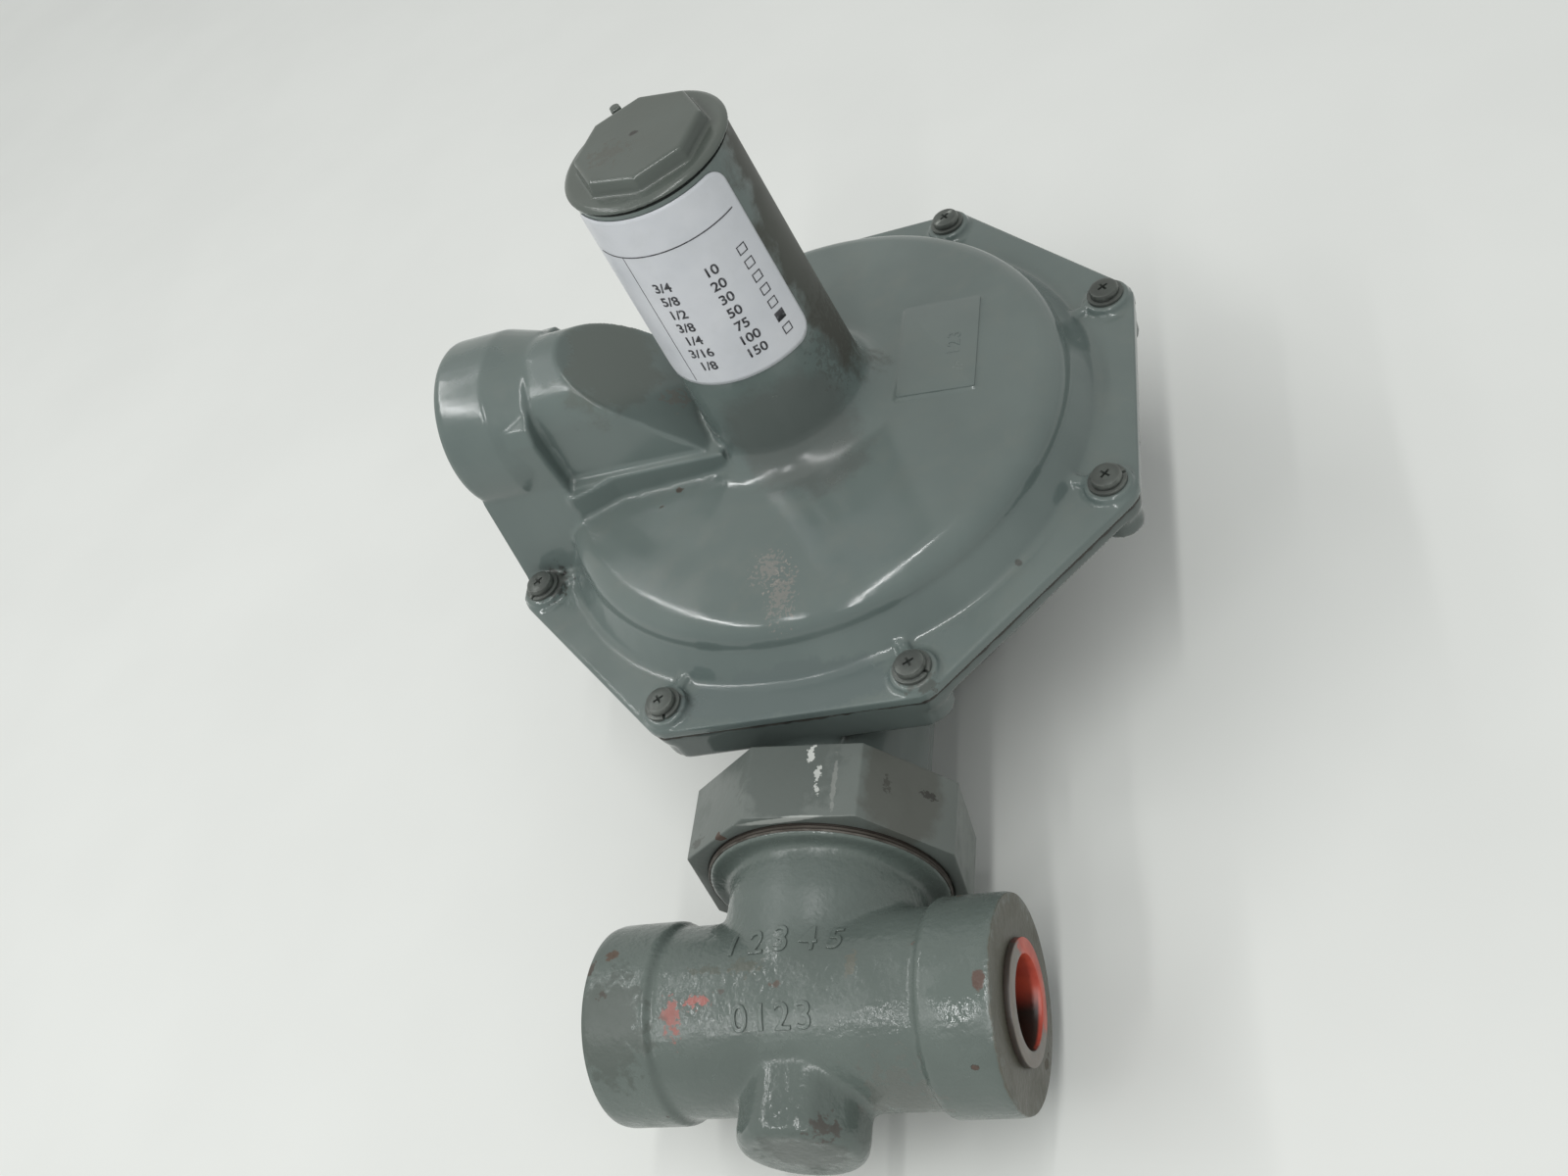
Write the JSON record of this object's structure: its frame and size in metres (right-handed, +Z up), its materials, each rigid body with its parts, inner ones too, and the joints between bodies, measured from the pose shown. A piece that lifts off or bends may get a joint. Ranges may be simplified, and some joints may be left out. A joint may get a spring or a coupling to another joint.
{
  "type": "gas service regulator",
  "caption": "Gas pressure regulator with a diaphragm case, capped spring barrel, side vent, lever and valve, and an in-line threaded iron body held on by a union nut.",
  "frame": {"origin": "centre of the flat pad under the lower case's cup, on the barrel's axis", "axes": "+Z up the spring barrel's axis, +X along the gas flow from inlet to outlet, -Y from the barrel to the valve body"},
  "size_m": [0.1822, 0.2801, 0.1888],
  "materials": {
    "case_paint": "grey satin paint on die-cast aluminium",
    "cap_paint": "grey satin paint on the die-cast cap",
    "iron_paint": "grey gloss paint over the cast surface",
    "nut_paint": "grey gloss paint over the cast nut",
    "screw_steel": "dark plated steel, dusty",
    "washer_steel": "dark plated spring steel",
    "black_rubber": "black, fabric-backed",
    "gasket_sheet": "matt gasket sheet",
    "zinc_steel": "zinc plated",
    "spring_steel": "bright drawn wire",
    "turned_brass": "machined",
    "adjuster_alloy": "turned",
    "stamped_steel": "stamped, yellow zinc",
    "stainless": "turned stainless steel",
    "screen_wire": "woven stainless wire",
    "guide_plastic": "moulded nylon",
    "label_film": "white printed film",
    "protector_red": "translucent red-orange polyethylene with grey overspray"
  },
  "bodies": {
    "case": {"upper_case": "case_paint", "spring_barrel": "case_paint", "lower_case": "case_paint", "case_screws": "screw_steel", "lock_washers": "washer_steel", "diaphragm": "black_rubber", "label": "label_film", "vent_screen": "screen_wire", "screen_ring": "zinc_steel", "vent_guide": "guide_plastic", "lever_pin": "zinc_steel", "pin_clips": "zinc_steel", "stem_guide": "adjuster_alloy", "snap_ring": "washer_steel", "main_spring": "spring_steel"},
    "cap_gasket": {"cap_gasket": "black_rubber"},
    "seal_cap": {"seal_cap": "cap_paint"},
    "spring_seat": {"spring_seat": "adjuster_alloy"},
    "adjusting_screw": {"adjusting_screw": "adjuster_alloy"},
    "relief_stem": {"relief_stem": "zinc_steel", "relief_pad": "black_rubber", "relief_nut": "zinc_steel", "relief_spring": "spring_steel"},
    "diaphragm_plate": {"diaphragm_plate": "zinc_steel", "diaphragm_head": "turned_brass", "head_nut": "zinc_steel"},
    "lever": {"lever": "stamped_steel"},
    "valve_stem": {"valve_stem": "stainless", "disc_holder": "turned_brass", "seat_disc": "black_rubber"},
    "vent_valve": {"vent_valve": "black_rubber"},
    "union_nut": {"union_nut": "nut_paint"},
    "valve_body": {"valve_body": "iron_paint", "orifice": "turned_brass", "union_gasket": "gasket_sheet"},
    "thread_protector": {"thread_protector": "protector_red"}
  },
  "joints": [
    {"name": "cap_lift", "type": "slide", "parent": "case", "child": "cap_gasket", "axis": [0, 0, 1], "range_m": [0, 0.009]},
    {"name": "cap_turn", "type": "hinge", "parent": "cap_gasket", "child": "seal_cap", "pos_m": [0, 0, 0.18253], "axis": [0, 0, 1], "range_deg": [0, 2165]},
    {"name": "adjuster_travel", "type": "slide", "parent": "case", "child": "spring_seat", "axis": [0, 0, 1], "range_m": [-0.019, 0.003], "deforming": ["main_spring"]},
    {"name": "adjuster_turn", "type": "hinge", "parent": "spring_seat", "child": "adjusting_screw", "pos_m": [0, 0, 0.15653], "axis": [0, 0, 1], "range_deg": [-4570, 730]},
    {"name": "stem_travel", "type": "slide", "parent": "case", "child": "relief_stem", "axis": [0, 0, 1], "range_m": [0, 0.006], "stiffness_N_per_m": 350, "springref_m": -0.02, "deforming": ["diaphragm", "main_spring"]},
    {"name": "relief_lift", "type": "slide", "parent": "relief_stem", "child": "diaphragm_plate", "axis": [0, 0, 1], "range_m": [0, 0.003], "stiffness_N_per_m": 1000, "springref_m": -0.003, "deforming": ["relief_spring", "diaphragm", "main_spring"]},
    {"name": "lever_swing", "type": "hinge", "parent": "case", "child": "lever", "pos_m": [0, -0.02985, 0.02778], "axis": [1, 0, 0], "range_deg": [0, 11.6]},
    {"name": "valve_travel", "type": "slide", "parent": "case", "child": "valve_stem", "axis": [0, -1, 0], "range_m": [0, 0.00181]},
    {"name": "vent_valve_lift", "type": "slide", "parent": "case", "child": "vent_valve", "axis": [0, 0, 1], "range_m": [0, 0.004]},
    {"name": "nut_turn", "type": "hinge", "parent": "case", "child": "union_nut", "pos_m": [0, -0.098, 0.03673], "axis": [0, -1, 0], "range_deg": [-180, 180]},
    {"name": "body_swivel", "type": "hinge", "parent": "case", "child": "valve_body", "pos_m": [0, -0.154, 0.03673], "axis": [0, -1, 0], "range_deg": [-180, 180]},
    {"name": "protector_pull", "type": "slide", "parent": "valve_body", "child": "thread_protector", "axis": [1, 0, 0], "range_m": [0, 0.02]}
  ],
  "couplings": [
    {"joint": "cap_turn", "follows": "cap_lift", "rad_per_m": 4188.8},
    {"joint": "adjuster_turn", "follows": "adjuster_travel", "rad_per_m": 4188.8},
    {"joint": "lever_swing", "follows": "stem_travel", "rad_per_m": 33.333},
    {"joint": "valve_travel", "follows": "stem_travel", "ratio": 0.3}
  ]
}
